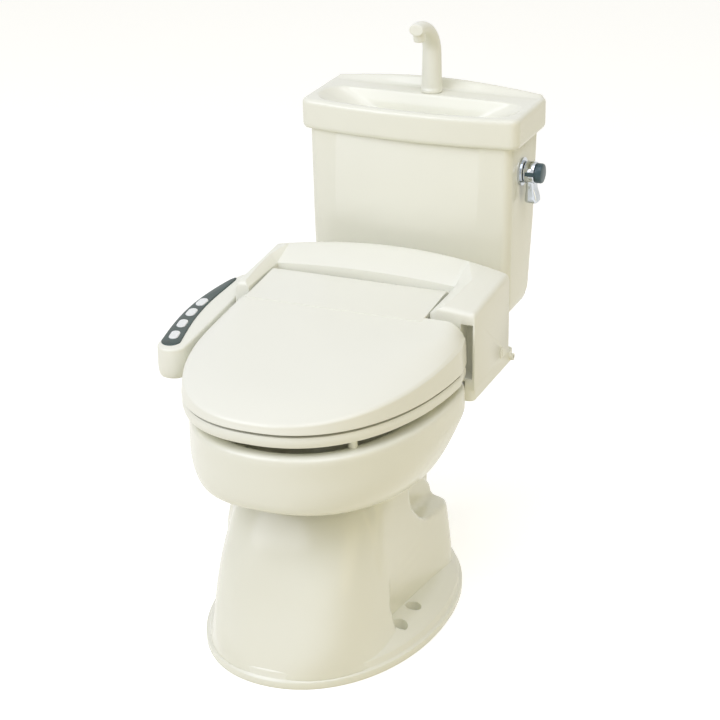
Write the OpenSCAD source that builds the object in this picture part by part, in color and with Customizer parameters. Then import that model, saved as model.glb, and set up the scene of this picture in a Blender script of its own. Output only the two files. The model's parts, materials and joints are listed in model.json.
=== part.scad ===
// Close-coupled toilet with a hand-wash basin on its tank and a washing seat.
// Origin: centre of the floor outlet, at floor level. +Z is up, -Y is the front, the wall is at +Y.

/* [Bowl] */
// Height of the bowl's rim above the floor
rim_z = 402; // [396:1:404]
// Half width of the rim at its widest
rim_half = 207; // [200:1:210]
// How far the rim reaches in front of the outlet
rim_front = 584; // [575:1:592]
// Radius of the outlet bore in the foot
outlet_r = 37.5; // [35:0.5:38]
// Half width of the foot
foot_half = 194; // [186:1:196]

/* [Tank] */
// Height of the tank's open top
tank_top = 720; // [710:1:730]
// Half width of the tank at its top
tank_half = 182; // [178:1:184]
// Wall thickness of the tank
tank_wall = 10; // [9:0.5:11]
// Half width of the basin lid
lid_half = 195; // [192:1:198]
// Height of the basin's front rim
basin_rim = 768; // [764:1:772]

/* [Washing seat] */
// Half width of the cover
cover_half = 210; // [208:1:212]
// Height of the hinge line of seat and lid
hinge_z = 492; // [491:1:493]
// Distance of the hinge line in front of the outlet
hinge_front = 124; // [123:1:125]
// Slope of the spray nozzle below the horizontal, in degrees
nozzle_slope = 19; // [18.5:0.5:19.5]

/* [Lever] */
// Height of the lever's axis
lever_z = 661; // [656:1:666]
// Distance of the lever's axis behind the outlet
lever_y = 101; // [99:1:103]

/* [Hidden] */
ivory = [0.92, 0.91, 0.86];
ivory_plastic = [0.93, 0.93, 0.89];
chrome = [0.75, 0.78, 0.8];
dark_panel = [0.2, 0.27, 0.28];
rubber = [0.15, 0.15, 0.15];
grey = [0.6, 0.6, 0.6];
brass = [0.78, 0.65, 0.35];
$fn = 64;

// ---- shared dimensions
hinge_y = -hinge_front;
hinge_x = -26;           // the hinge's middle, left of the bowl's
deck_half = 186;         // half width of the deck under the washing seat
foot_top = 44;           // seam between foot and bowl
deck_under = 366;        // underside of the deck
tank_floor = 406;        // underside of the tank
tank_y = 98;             // centre of the tank's fixings behind the outlet
valve_x = 35;            // flush valve beside the middle, so that the float has room
tap_x = -140;            // ball tap
tube_x = -18;            // overflow tube
pivot_x = 0;             // flapper's pin
chain_x = 71.5;          // chain beside the lever's crank
spout_y = 152;           // spout behind the basin
spout_z = 768.2;         // spout's foot
basin_floor = 708;
seat_bolt_x = 70;        // seat fixing holes
seat_bolt_y = -105;
tank_bolt_x = 98;
screw_x = 150;           // floor screws on the side shelves
screw_y = [-383, -323];
wash_half = 160;         // half width of the notch that seat and lid turn in
barrel_r = 24;           // lid's rear barrel about the hinge line
pin_r = 5;
run_gap = 0.05;          // radial clearance of a running fit
widest_y = -263;         // where rim, seat and lid are widest
seat_rear = -220;        // rear end of seat and lid beside the notch
tray_top = 388;          // seam between base tray and cover
ring_under = 416;        // underside of the seat
seat_lean = 14;          // the seat's nose lies a little to the left
strip_rear = [-244, -137];
strip_front = [-243.5, -378];

// ---- outlines and lofts
// A closed outline at height z: rounded front and rear halves that meet where it is widest.
function sgn_pow(v, p) = sign(v) * pow(abs(v), p);
function oval(half, front, rear, wide, n, z, tilt = 0, sides = 56) = [
    for (i = [0:sides - 1])
        let (t = 360 * i / sides, s = sin(t), y = wide + (s < 0 ? wide - front : rear - wide) * sgn_pow(s, 2 / n))
        [half * sgn_pow(cos(t), 2 / n), y, z - tilt * min(0, y + 300)]];
// A rounded rectangle whose front edge bows forward.
function bowed_box(half, front, rear, r, bow, z, steps = 5, front_steps = 9) = let (
    corner = [[half - r, rear - r, 0], [r - half, rear - r, 90], [r - half, front + r, 180],
        [half - r, front + r, 270]],
    arc = function (c) [for (i = [0:steps]) [c[0] + r * cos(c[2] + 90 * i / steps),
        c[1] + r * sin(c[2] + 90 * i / steps)]],
    front_edge = [for (i = [1:front_steps - 1]) [(r - half) + 2 * (half - r) * i / front_steps, front]],
    flat = concat(arc(corner[0]), arc(corner[1]), arc(corner[2]), front_edge, arc(corner[3])))
    [for (p = flat) [p[0], p[1] - (p[1] < (front + rear) / 2 ? bow * (1 - pow(p[0] / half, 2)) : 0), z]];
// Joins rings that all have the same number of points into one closed solid.
module loft(rings) {
    n = len(rings[0]);
    last = (len(rings) - 1) * n;
    points = [for (ring = rings) each ring];
    walls = [for (k = [0:len(rings) - 2], i = [0:n - 1])
        let (a = k * n + i, b = k * n + (i + 1) % n) each [[a, a + n, b + n], [a, b + n, b]]];
    faces = concat([[for (i = [0:n - 1]) i]], walls, [[for (i = [0:n - 1]) last + n - 1 - i]]);
    polyhedron(points = points, faces = faces);
}
function flipped(ring) = [for (k = [len(ring) - 1:-1:0]) ring[k]];
// A round tube swept along points in one upright plane, x constant, with its radii given per point.
function sweep_rings(path, x, rx, rt, sides = 20) = [
    for (k = [0:len(path) - 1])
        let (a = path[max(k - 1, 0)], b = path[min(k + 1, len(path) - 1)], d = (b - a) / norm(b - a))
        [for (i = [0:sides - 1]) let (t = 360 * i / sides)
            [x + rx[k] * cos(t), path[k][0] + rt[k] * sin(t) * d[1], path[k][1] - rt[k] * sin(t) * d[0]]]];
module along_x(x, y, z, length, r) {
    translate([x, y, z]) rotate([0, 90, 0]) cylinder(r = r, h = length);
}
module hex(x, y, z, across, height) {
    translate([x, y, z]) rotate(30) cylinder(r = across / sqrt(3), h = height, $fn = 6);
}
module both_sides() {
    children();
    mirror([1, 0, 0]) children();
}

// ---- bowl
module bowl_outside() {
    loft([oval(124, -446, -236, -300, 2.6, 250, 0.19), oval(141, -520, -233, -300, 2.6, 254, 0.18),
        oval(152, -548, -229, -298, 2.6, 261, 0.15), oval(162, -567, -222, -294, 2.55, 271, 0.12),
        oval(173, -578, -211, -290, 2.5, 286, 0.08), oval(186, -583, -194, -285, 2.45, 309, 0.03),
        oval(198, -584, -168, -278, 2.4, 337, 0.01),
        oval(rim_half, -rim_front, -138, widest_y, 2.3, deck_under - 2),
        oval(rim_half, -rim_front, -138, widest_y, 2.3, rim_z - 5),
        oval(rim_half - 5, 5 - rim_front, -141, widest_y, 2.3, rim_z)]);
}
module bowl_cavity() {
    loft([oval(40, -345, -262, -300, 2, 128), oval(55, -365, -250, -302, 2, 150),
        oval(76, -395, -242, -310, 2, 190), oval(100, -432, -234, -312, 2.1, 235),
        oval(128, -482, -228, -312, 2.1, 270), oval(150, -524, -221, -305, 2.2, 310),
        oval(167, -551, -216, -290, 2.2, 360), oval(171, -555, -216, -285, 2.2, rim_z - 6),
        oval(175, -560, -213, -285, 2.2, rim_z + 1)]);
}
// Outline of the pedestal: rounded in front, wider and nearly square behind.
function pillar(half, front, rear, spread, z) = [for (p = oval(half, front, rear, -360, 8, z))
    [p[0] * (1 + spread * max(0, p[1] + 360) / 210), p[1], z]];
module pedestal() {
    loft([pillar(129, -440, -104, 0.19, 8), pillar(130, -440, -104, 0.18, 45),
        pillar(134, -440, -104, 0.12, 90), pillar(136, -440, -106, 0.05, 150),
        pillar(136, -440, -122, 0.02, 172), pillar(135, -440, -150, 0, 196),
        pillar(133, -430, -186, -0.03, 222), pillar(128, -420, -205, -0.05, 252),
        pillar(112, -410, -215, -0.05, 274)]);
}
module front_skirt() {
    intersection() {
        loft([oval(188, -572, -8, -290, 2.15, 8), oval(170, -569, -20, -290, 2.5, 22),
            oval(155, -565, -60, -290, 3, 40), oval(144, -557, -90, -290, 3.6, 67),
            oval(139, -541, -100, -290, 4, 112), oval(135, -525, -110, -290, 4, 159),
            oval(132, -506, -120, -290, 3.6, 200), oval(129, -488, -140, -290, 3.2, 232),
            oval(116, -470, -160, -290, 2.8, 264)]);
        translate([-300, -700, 0]) cube([600, 305, 300]);
    }
}
module foot() {
    loft([oval(foot_half, -576, -4, -290, 2.1, 0), oval(foot_half, -576, -4, -290, 2.1, 12),
        oval(foot_half - 6, -571, -9, -290, 2.1, 15), oval(foot_half - 7, -570, -10, -290, 2.1, 25),
        oval(foot_half - 13, -565, -16, -290, 2.1, 29), oval(foot_half - 24, -552, -30, -290, 2.1, 38),
        oval(foot_half - 42, -534, -50, -290, 2.1, 43), oval(foot_half - 70, -506, -78, -290, 2.1, foot_top)]);
    cylinder(r = 62, h = 24);
}
module rear_column() {
    cylinder(r = 47, h = 190);
    loft([oval(44, -44, 44, 0, 2, 150), oval(54, -70, 56, 0, 2.2, 210), oval(78, -110, 84, 0, 2.4, 280),
        oval(112, -150, 124, 0, 2.8, 340), oval(134, -170, 148, 0, 4, deck_under + 2)]);
}
module trap_bridge() {
    hull() {
        translate([0, -110, 196]) sphere(r = 56, $fn = 32);
        translate([0, -8, 150]) sphere(r = 46, $fn = 32);
        translate([0, -120, 90]) sphere(r = 52, $fn = 32);
    }
}
module deck() {
    linear_extrude(height = rim_z - deck_under - 0.5)
        polygon([[-deck_half, -215], [deck_half, -215], [deck_half, -70], [178, -40], [146, -8], [140, 20],
            [140, 150], [125, 165], [-125, 165], [-140, 150], [-140, 20], [-146, -8], [-178, -40],
            [-deck_half, -70]]);
}
// Handhold in each side of the pedestal, just under the bowl and open to the rear.
module side_pockets() {
    both_sides() translate([100, 0, 0]) rotate([90, 0, 90]) linear_extrude(height = 76)
        polygon([[-266, 232], [-266, 190], [-238, 158], [-80, 134], [-80, 226]]);
    both_sides() translate([118, 0, 0]) rotate([90, 0, 90]) linear_extrude(height = 58)
        polygon([[-286, 246], [-286, 201], [-247, 164], [-149, 157], [-80, 150], [-80, 246]]);
}
module casting() {
    difference() {
        union() {
            bowl_outside();
            pedestal();
            front_skirt();
            foot();
            rear_column();
            trap_bridge();
            translate([0, 0, deck_under]) deck();
        }
        bowl_cavity();
        side_pockets();
        // trapway: up over the weir, then down to the outlet
        translate([0, -290, 150]) rotate([-62, 0, 0]) cylinder(r = 26, h = 176);
        translate([0, -134, 225]) sphere(r = 27);
        translate([0, -134, 225]) rotate([-117, 0, 0]) cylinder(r = 26.5, h = 135);
        translate([0, -10, 162]) sphere(r = 28);
        translate([0, 0, 55]) cylinder(r = 28, h = 100);
        translate([0, 0, -1]) cylinder(r = outlet_r, h = 61);
        // flush inlet, and its channel forward to the bowl
        translate([valve_x, tank_y, 372]) cylinder(r = 40, h = 60);
        translate([valve_x, tank_y, 386]) rotate([90, 0, 0]) cylinder(r = 10, h = 330);
        translate([tap_x, tank_y, 330]) cylinder(r = 24, h = 90);
        both_sides() {
            translate([seat_bolt_x, seat_bolt_y, 330]) cylinder(r = 6.5, h = 90);
            translate([seat_bolt_x, seat_bolt_y, 200]) cylinder(r = 20, h = deck_under - 200);
            translate([tank_bolt_x, tank_y, 330]) cylinder(r = 5.5, h = 90);
            translate([tank_bolt_x, tank_y, 200]) cylinder(r = 17, h = deck_under - 200);
            for (y = screw_y) translate([screw_x, y, -1]) cylinder(r = 4, h = 60);
            for (y = screw_y) translate([screw_x, y, 12]) cylinder(r = 13, h = 60);
        }
    }
}
module bowl() {
    color(ivory) intersection() {
        casting();
        translate([-300, -700, foot_top]) cube([600, 1000, 400]);
    }
}
module bowl_foot() {
    color(ivory) intersection() {
        casting();
        translate([-300, -700, -10]) cube([600, 1000, 10 + foot_top]);
    }
}
module outlet_seal() {
    color(rubber) difference() {
        cylinder(r = outlet_r, h = 40);
        translate([0, 0, -1]) cylinder(r = 31, h = 42);
    }
}
module floor_screws() {
    color(chrome) both_sides() for (y = screw_y) translate([screw_x, y, 0]) {
        translate([0, 0, 1]) cylinder(r = 2.6, h = 12);
        translate([0, 0, 12]) cylinder(r = 6, h = 3.5);
    }
}
module screw_caps() {
    color(ivory_plastic) both_sides() for (y = screw_y) translate([screw_x, y, 12]) difference() {
        cylinder(r = 12.6, h = 12);
        translate([0, 0, -1]) cylinder(r = 8, h = 8);
    }
}

// ---- tank
module tank_outside() {
    loft([bowed_box(154, 64, 132, 14, 10, tank_floor), bowed_box(168, 54, 150, 18, 12, tank_floor + 4),
        bowed_box(176, 48, 160, 20, 13, tank_floor + 14),
        bowed_box(tank_half - 3, 45, 167, 18, 14, tank_floor + 30),
        bowed_box(tank_half - 1.5, 43, 182, 15, 15, 560), bowed_box(tank_half, 41, 189, 14, 16, tank_top)]);
}
module tank_inside() {
    w = tank_wall;
    loft([bowed_box(152, 62, 140, 10, 10, tank_floor + 10), bowed_box(163, 57, 150, 12, 12, tank_floor + 20),
        bowed_box(tank_half - 1.5 - w, 43 + w, 182 - w, 10, 14, 560),
        bowed_box(tank_half - w, 41 + w, 189 - w, 10, 15, tank_top + 1)]);
}
module tank() {
    color(ivory) difference() {
        tank_outside();
        tank_inside();
        translate([valve_x, tank_y, 395]) cylinder(r = 31, h = 40);
        both_sides() translate([tank_bolt_x, tank_y, 395]) cylinder(r = 5.5, h = 40);
        translate([tap_x, tank_y, 395]) cylinder(r = 10.5, h = 40);
        along_x(150, lever_y, lever_z, 60, 9);
    }
}
module tank_gasket() {
    color(rubber) difference() {
        translate([valve_x, tank_y, rim_z - 0.5]) cylinder(r = 52, h = tank_floor - rim_z + 0.5);
        translate([valve_x, tank_y, rim_z - 2]) cylinder(r = 41, h = 10);
    }
}
module tank_bolts() {
    color(brass) both_sides() translate([tank_bolt_x, tank_y, 0]) {
        translate([0, 0, 352]) cylinder(r = 4, h = 68);
        translate([0, 0, tank_floor + 10]) cylinder(r = 11, h = 3);
        translate([0, 0, tank_floor + 12]) cylinder(r = 7, h = 5);
    }
}
module tank_nuts() {
    color(brass) both_sides() difference() {
        union() {
            translate([tank_bolt_x, tank_y, deck_under - 2]) cylinder(r = 12, h = 2);
            hex(tank_bolt_x, tank_y, deck_under - 9, 14, 7);
        }
        translate([tank_bolt_x, tank_y, 340]) cylinder(r = 4, h = 40);
    }
}

// ---- basin lid and spout
// Underside of the basin, which hangs into the tank.
module basin_underside() {
    loft([bowed_box(110, 78, 118, 18, 4, 692), bowed_box(140, 66, 126, 22, 8, 704),
        bowed_box(160, 60, 132, 24, 10, 724)]);
}
module basin_hollow() {
    loft([bowed_box(36, 79, 114, 16, 1, basin_floor), bowed_box(64, 72, 117, 20, 4, basin_floor + 8),
        bowed_box(102, 65, 121, 25, 8, basin_floor + 23), bowed_box(140, 57, 125, 30, 12, basin_floor + 40),
        bowed_box(166, 51, 129, 34, 15, basin_floor + 52), bowed_box(177, 47.5, 131, 36, 17, basin_rim - 1.5),
        bowed_box(181, 45, 133, 36, 17, basin_rim + 1)]);
}
// Raised ridge along the rear, behind the spout.
module rear_ledge() {
    loft([for (k = [0:12]) let (x = -186 + 31 * k, h = 8 + 13 * cos(x / 2.1))
        [[x, 192, 740], [x, 193, basin_rim - 9 + h], [x, 188, basin_rim - 4 + h], [x, 183, basin_rim - 5 + h],
            [x, 172, basin_rim - 1], [x, 169, 740]]]);
}
module basin_lid() {
    color(ivory) difference() {
        union() {
            difference() {
                loft([bowed_box(lid_half - 2, 38, 193, 14, 19, 716), bowed_box(lid_half, 36, 195, 14, 20, 722),
                    bowed_box(lid_half, 34, 195, 14, 20, basin_rim - 6),
                    bowed_box(lid_half - 1.5, 35.5, 193.5, 13, 20, basin_rim - 2),
                    bowed_box(lid_half - 5, 39, 190, 12, 19, basin_rim)]);
                // rebate that drops over the tank's top
                loft([bowed_box(tank_half + 1.5, 39.5, 190.5, 14, 16, 714),
                    bowed_box(tank_half + 1.5, 39.5, 190.5, 14, 16, tank_top)]);
            }
            rear_ledge();
            basin_underside();
        }
        basin_hollow();
        translate([0, 96, 680]) cylinder(r = 12, h = 60);
        translate([0, spout_y, 680]) cylinder(r = 9, h = 120);
    }
}
module basin_strainer() {
    color(chrome) difference() {
        translate([0, 96, basin_floor]) cylinder(r = 15, h = 3);
        for (k = [0:5])
            translate([9 * cos(60 * k), 96 + 9 * sin(60 * k), basin_floor - 5]) cylinder(r = 2.5, h = 12);
    }
}
module spout() {
    color(ivory_plastic) difference() {
        union() {
            loft(sweep_rings(
                [for (k = [0:10]) k < 4 ? [spout_y, spout_z + 22.9 * k]
                    : [spout_y - 60 * (1 - cos(15 * (k - 3))), 837 + 56 * sin(14 * (k - 3))]],
                0, [for (k = [0:10]) 18 - 0.5 * k], [for (k = [0:10]) 17 - 0.7 * k]));
            translate([0, spout_y - 58, 871]) rotate([14, 0, 0]) cylinder(r = 10.5, h = 22);
            translate([0, spout_y, spout_z]) cylinder(r = 18.5, h = 6);
        }
        translate([0, spout_y, spout_z - 10]) cylinder(r = 7, h = 70);
        translate([0, spout_y - 58, 859]) rotate([14, 0, 0]) cylinder(r = 6, h = 30);
    }
    color(ivory_plastic) difference() {
        translate([0, spout_y, 702]) cylinder(r = 8.8, h = spout_z + 2 - 702);
        translate([0, spout_y, 700]) cylinder(r = 5, h = 90);
    }
}
module spout_nut() {
    color(ivory_plastic) difference() {
        hex(0, spout_y, tank_top - 10, 26, 10);
        translate([0, spout_y, 700]) cylinder(r = 8.8, h = 30);
    }
}
// Supply hose from the ball tap up to the spout, held at both ends.
hose_path = [[tap_x, tank_y, 640], [tap_x, tank_y, 662], [-132, 104, 680], [-112, 116, 684], [-80, 128, 680],
    [-48, 140, 672], [-20, 150, 670], [-4, spout_y - 1, 676], [0, spout_y, 690], [0, spout_y, 702]];
function hose_ring(k) = let (a = hose_path[max(k - 1, 0)], b = hose_path[min(k + 1, len(hose_path) - 1)],
    d = (b - a) / norm(b - a), side = cross(d, [0.3, -0.95, 0.1]), u = side / norm(side), v = cross(d, u))
    [for (i = [0:9]) hose_path[k] + 5 * (cos(36 * i) * u + sin(36 * i) * v)];
module spout_hose() {
    color(grey) loft([for (k = [0:len(hose_path) - 1]) hose_ring(k)]);
}

// ---- flush valve
module flush_valve_seat() {
    color(ivory_plastic) difference() {
        union() {
            translate([valve_x, tank_y, 380]) cylinder(r = 30, h = 50);
            translate([valve_x, tank_y, tank_floor + 10]) cylinder(r = 36, h = 4);
            translate([valve_x, tank_y, 429]) cylinder(r = 33, h = 5);
            translate([tube_x, tank_y, tank_floor + 14]) cylinder(r = 16, h = 18);
            translate([tube_x, tank_y - 12, tank_floor + 14]) cube([32, 24, 12]);
        }
        translate([valve_x, tank_y, 370]) cylinder(r = 26, h = 80);
        translate([tube_x, tank_y, tank_floor + 18]) cylinder(r = 12, h = 30);
        // overflow water runs from under the tube into the valve
        translate([tube_x, tank_y - 6, tank_floor + 18]) cube([40, 12, 5]);
    }
}
module flush_valve_nut() {
    color(ivory_plastic) difference() {
        translate([valve_x, tank_y, tank_floor - 14]) cylinder(r = 38, h = 14);
        translate([valve_x, tank_y, 380]) cylinder(r = 30, h = 40);
    }
}
module overflow_tube() {
    color(ivory_plastic) difference() {
        union() {
            translate([tube_x, tank_y, tank_floor + 24]) cylinder(r = 12, h = 220);
            for (s = [-1, 1]) translate([tube_x + 7, tank_y + 8.5 * s - 2.5, 438.5]) cube([15, 5, 10]);
        }
        translate([tube_x, tank_y, tank_floor + 10]) cylinder(r = 9.5, h = 240);
        translate([pivot_x, tank_y + 20, 443]) rotate([90, 0, 0]) cylinder(r = 2, h = 40);
    }
}
module flapper() {
    color(rubber) difference() {
        union() {
            translate([valve_x, tank_y, 434]) cylinder(r = 29.5, h = 4);
            translate([valve_x, tank_y, 438]) sphere(r = 15);
            translate([pivot_x, tank_y + 5.5, 443]) rotate([90, 0, 0]) cylinder(r = 4, h = 11);
            translate([pivot_x, tank_y - 4, 441]) cube([24, 8, 4]);
            translate([pivot_x + 10, tank_y - 4, 436]) cube([14, 8, 7]);
            translate([60, tank_y - 26, 434]) cube([14, 30, 4]);
        }
        translate([pivot_x, tank_y + 20, 443]) rotate([90, 0, 0]) cylinder(r = 2 + run_gap, h = 40);
        translate([chain_x, tank_y - 22, 430]) cylinder(r = 1.4, h = 12);
    }
}
module chain() {
    color(chrome) {
        translate([chain_x, tank_y - 22, 438.8]) cylinder(r = 1.1, h = 205.2);
        for (k = [0:9]) translate([chain_x, tank_y - 22, 446 + 20 * k]) rotate([90, 0, 36 * k])
            rotate_extrude($fn = 24) translate([3, 0]) circle(r = 1, $fn = 16);
    }
}
module flapper_pin() {
    color(chrome) translate([pivot_x, tank_y + 11, 443]) rotate([90, 0, 0]) cylinder(r = 2, h = 22);
}

// ---- ball tap and float
module ball_tap() {
    color(brass) difference() {
        union() {
            translate([tap_x, tank_y, 376]) cylinder(r = 9.5, h = 22);
            translate([tap_x, tank_y, 398]) cylinder(r = 10, h = 20);
            translate([tap_x, tank_y, tank_floor + 10.6]) cylinder(r = 12, h = 5);
            translate([tap_x, tank_y, 418]) cylinder(r = 8, h = 192);
            translate([tap_x, tank_y, 606]) cylinder(r = 12, h = 34);
            translate([tap_x + 8, tank_y - 9, 612]) cube([16, 4, 14]);
            translate([tap_x + 8, tank_y + 5, 612]) cube([16, 4, 14]);
        }
        translate([tap_x, tank_y, 370]) cylinder(r = 5, h = 260);
        translate([tap_x + 18, tank_y + 20, 619]) rotate([90, 0, 0]) cylinder(r = 2, h = 40);
    }
}
module ball_tap_nut() {
    color(brass) difference() {
        hex(tap_x, tank_y, tank_floor - 7.5, 26, 7);
        translate([tap_x, tank_y, 380]) cylinder(r = 10, h = 40);
    }
}
module float_arm() {
    color(brass) {
        difference() {
            translate([tap_x + 18, tank_y + 4.5, 619]) rotate([90, 0, 0]) cylinder(r = 5, h = 9);
            translate([tap_x + 18, tank_y + 20, 619]) rotate([90, 0, 0]) cylinder(r = 2 + run_gap, h = 40);
        }
        translate([tap_x + 18, tank_y + 9.5, 619]) rotate([90, 0, 0]) cylinder(r = 1.95, h = 19);
        translate([tap_x + 18, tank_y, 619]) rotate([0, 128, 0])
            translate([0, 0, 4.5]) cylinder(r = 2.5, h = 44);
    }
}
module float_ball() {
    color(ivory_plastic) translate([-77, tank_y, 583]) sphere(r = 30);
}

// ---- flush lever
module lever_escutcheon() {
    color(chrome) difference() {
        union() {
            along_x(181.7, lever_y, lever_z, 3.3, 24);
            along_x(184, lever_y, lever_z, 4, 19);
        }
        along_x(175, lever_y, lever_z, 20, 8.8);
    }
}
module lever_nut() {
    color(chrome) difference() {
        union() {
            along_x(163.2, lever_y, lever_z, 24.3, 8.8);
            along_x(163.2, lever_y, lever_z, 8, 15);
        }
        along_x(150, lever_y, lever_z, 60, 5 + run_gap);
    }
}
module flush_lever() {
    color(chrome) {
        along_x(189, lever_y, lever_z, 19, 19);
        hull() {
            translate([191, lever_y - 14, lever_z - 27]) cube([16, 28, 12]);
            translate([189.5, lever_y - 12, lever_z - 51]) cube([24, 24, 9]);
        }
    }
}
module lever_cap() {
    color([0.3, 0.42, 0.45]) along_x(208, lever_y, lever_z, 12, 17);
}
module lever_spindle() {
    color(chrome) {
        along_x(64, lever_y, lever_z, 125, 5);
        translate([64, lever_y, lever_z]) difference() {
            hull() {
                along_x(0, 0, 0, 5, 7);
                along_x(0, -24, -14, 5, 4);
            }
            along_x(-1, -24, -14, 8, 1.8);
        }
    }
}

// ---- washing seat: body
function cover_top(y) = 532 + 0.075 * (y + 40);
// Side profile of the cover at a place x across it: cambered top, rear bowed towards the tank.
function cover_ring(x, inset, floor_z) = let (
    u = 1 - pow(x / cover_half, 2), edge = max(0, abs(x) - cover_half + 8),
    drop = inset + 8 - sqrt(64 - edge * edge),
    top = 12 * u - drop, rear = -38 + 30 * u - inset, front = -207 + inset)
    [[x, front, floor_z], [x, front, cover_top(-207) - 8 + top], [x, front + 3, cover_top(-207) - 2 + top],
        [x, front + 10, cover_top(-207) + top], [x, -120, cover_top(-120) + top],
        [x, -90, cover_top(-90) + top], [x, rear - 12, cover_top(-50) + top],
        [x, rear - 3, cover_top(-50) - 3 + top], [x, rear, cover_top(-50) - 10 + top], [x, rear, floor_z]];
function cover_stations(half) = [for (k = [0:18]) let (s = k / 9 - 1) half * sign(s) * (1 - pow(1 - abs(s), 1.8))];
module cover_block(inset, floor_z) {
    loft([for (x = cover_stations(cover_half - inset)) flipped(cover_ring(x, inset, floor_z))]);
}
module hinge_notch(grow) {
    r = 27 + grow;
    h = wash_half + grow;
    at_hinge() along_x(-h, hinge_y, hinge_z, 2 * h, r);
    // above and in front of the barrel
    at_hinge() translate([-h, hinge_y - 4, hinge_z]) cube([2 * h, 4 + 31 + grow, 80]);
    at_hinge() translate([-h, -230, hinge_z - r]) cube([2 * h, 230 + hinge_y, 120 + r]);
    // wells of the seat's arms, with a sloping rear wall under the hinge
    at_hinge() both_sides() translate([96 - grow, 0, 0])
        rotate([90, 0, 90]) linear_extrude(height = h - 96 + grow)
            polygon([[-230, 380], [-158 + grow, 380], [-158 + grow, 447 - grow], [-130 + grow, 466 - grow],
                [-130 + grow, 500], [-230, 500]]);
    // the top falls towards the lid, between the shoulders
    loft([for (k = [0:10]) let (x = k == 0 ? -207 : k == 10 ? 172 : 40 * k - 226,
            lift = (k % 10 == 0 ? 22 : 7 * (1 - pow((x - hinge_x) / wash_half, 2))) - grow)
        [[x, -215, 512 + lift], [x, -95, 515 + lift], [x, -15, 543 + lift], [x, -15, 600], [x, -215, 600]]]);
    // upright groove beside the right shoulder
    translate([186 - grow, -230, 406 - grow]) cube([20.5 + 2 * grow, 53 + grow, 94 + 2 * grow]);
}
module at_hinge() {
    translate([hinge_x, 0, 0]) children();
}
module nozzle_line() {
    translate([0, -213, 420]) rotate([90 + nozzle_slope, 0, 0]) children();
}
module seat_cover() {
    color(ivory_plastic) difference() {
        cover_block(0, tray_top);
        difference() {
            cover_block(3, tray_top - 1);
            hinge_notch(3);
            at_hinge() both_sides() along_x(wash_half - 1, hinge_y, hinge_z, 14, 11);
        }
        hinge_notch(0);
        translate([-194, -220, 370]) cube([388, 230, rim_z + 0.6 - 370]);
        at_hinge() both_sides() along_x(150, hinge_y, hinge_z, 23, pin_r);
        along_x(190, -72, 402, 40, 9);
        nozzle_line() translate([0, 0, -30]) cylinder(r = 11, h = 45);
    }
}
module base_tray() {
    color(ivory_plastic) {
        difference() {
            loft([bowed_box(cover_half - 2, -205, -12, 10, 0, 367),
                bowed_box(cover_half, -207, -10, 10, 0, 370),
                bowed_box(cover_half, -207, -10, 10, 0, tray_top)]);
            translate([-194, -230, 350]) cube([388, 236, 60]);
            along_x(-230, -28, 377, 40, 6.5);
            along_x(190, -28, 378, 40, 6);
        }
        difference() {
            translate([-206.5, -154.5, rim_z + 0.3]) cube([413, 108.5, 3]);
            translate([-92, -150, rim_z - 1]) cube([184, 90, 10]);
            along_x(190, -72, 402, 40, 9);
        }
        difference() {
            both_sides() translate([194, -200, 380]) cube([12.5, 154, rim_z + 0.3 - 380]);
            along_x(190, -72, 402, 40, 9);
        }
        // raised pan over the bracket
        difference() {
            translate([-96, -154, rim_z + 0.3]) cube([192, 98, 12]);
            translate([-92, -150, rim_z - 1]) cube([184, 90, 10.3]);
        }
    }
}
module mounting_bracket() {
    color(grey) difference() {
        translate([-88, -146, rim_z]) cube([176, 82, 3]);
        both_sides() translate([seat_bolt_x, seat_bolt_y, rim_z - 5]) cylinder(r = 5, h = 12);
    }
}
module bracket_bolts() {
    color(chrome) both_sides() translate([seat_bolt_x, seat_bolt_y, 0]) {
        translate([0, 0, 340]) cylinder(r = 4, h = 66);
        translate([0, 0, rim_z + 3]) cylinder(r = 9, h = 4);
    }
}
module bracket_nuts() {
    color(ivory_plastic) both_sides() difference() {
        union() {
            translate([seat_bolt_x, seat_bolt_y, deck_under - 3]) cylinder(r = 13, h = 3);
            hex(seat_bolt_x, seat_bolt_y, deck_under - 14, 17, 11);
        }
        translate([seat_bolt_x, seat_bolt_y, 340]) cylinder(r = 4, h = 40);
    }
}
module hinge_pins() {
    color(chrome) at_hinge() both_sides() along_x(102, hinge_y, hinge_z, 70, pin_r);
}
module water_heater() {
    color(grey) difference() {
        union() {
            translate([34, -88, 418]) cube([110, 44, 80]);
            translate([60, -66, 498]) cylinder(r = 6, h = 10);
            translate([120, -66, 498]) cylinder(r = 6, h = 10);
        }
        translate([60, -66, 485]) cylinder(r = 3, h = 40);
    }
}
module valve_block() {
    color(grey) {
        translate([-150, -88, 418]) cube([70, 42, 40]);
        for (x = [-132, -98]) translate([x, -67, 458]) cylinder(r = 11, h = 34);
    }
}
module circuit_board() {
    color([0.1, 0.4, 0.2]) translate([164, -171, 440]) cube([40, 120, 1.6]);
    color(rubber) for (y = [-160, -132, -104, -76]) translate([176, y, 441.6]) cube([16, 14, 9]);
}
module nozzle_guide() {
    color(grey) difference() {
        union() {
            nozzle_line() translate([-12, -12, -118]) cube([24, 20.6, 92]);
            translate([-16, -150, 414.3]) cube([32, 14, 18]);
        }
        nozzle_line() translate([0, 0, -130]) cylinder(r = 7 + run_gap, h = 130);
    }
}
module spray_nozzle() {
    color(ivory_plastic) nozzle_line() difference() {
        union() {
            translate([0, 0, -122]) cylinder(r = 7, h = 120);
            translate([0, 0, -2]) cylinder(r1 = 7, r2 = 4, h = 3);
        }
        for (k = [0:3]) translate([0, 0, -9 - 3 * k]) rotate([-90, 0, 0]) translate([0, 0, 2])
            cylinder(r = 0.6, h = 8);
    }
}
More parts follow.
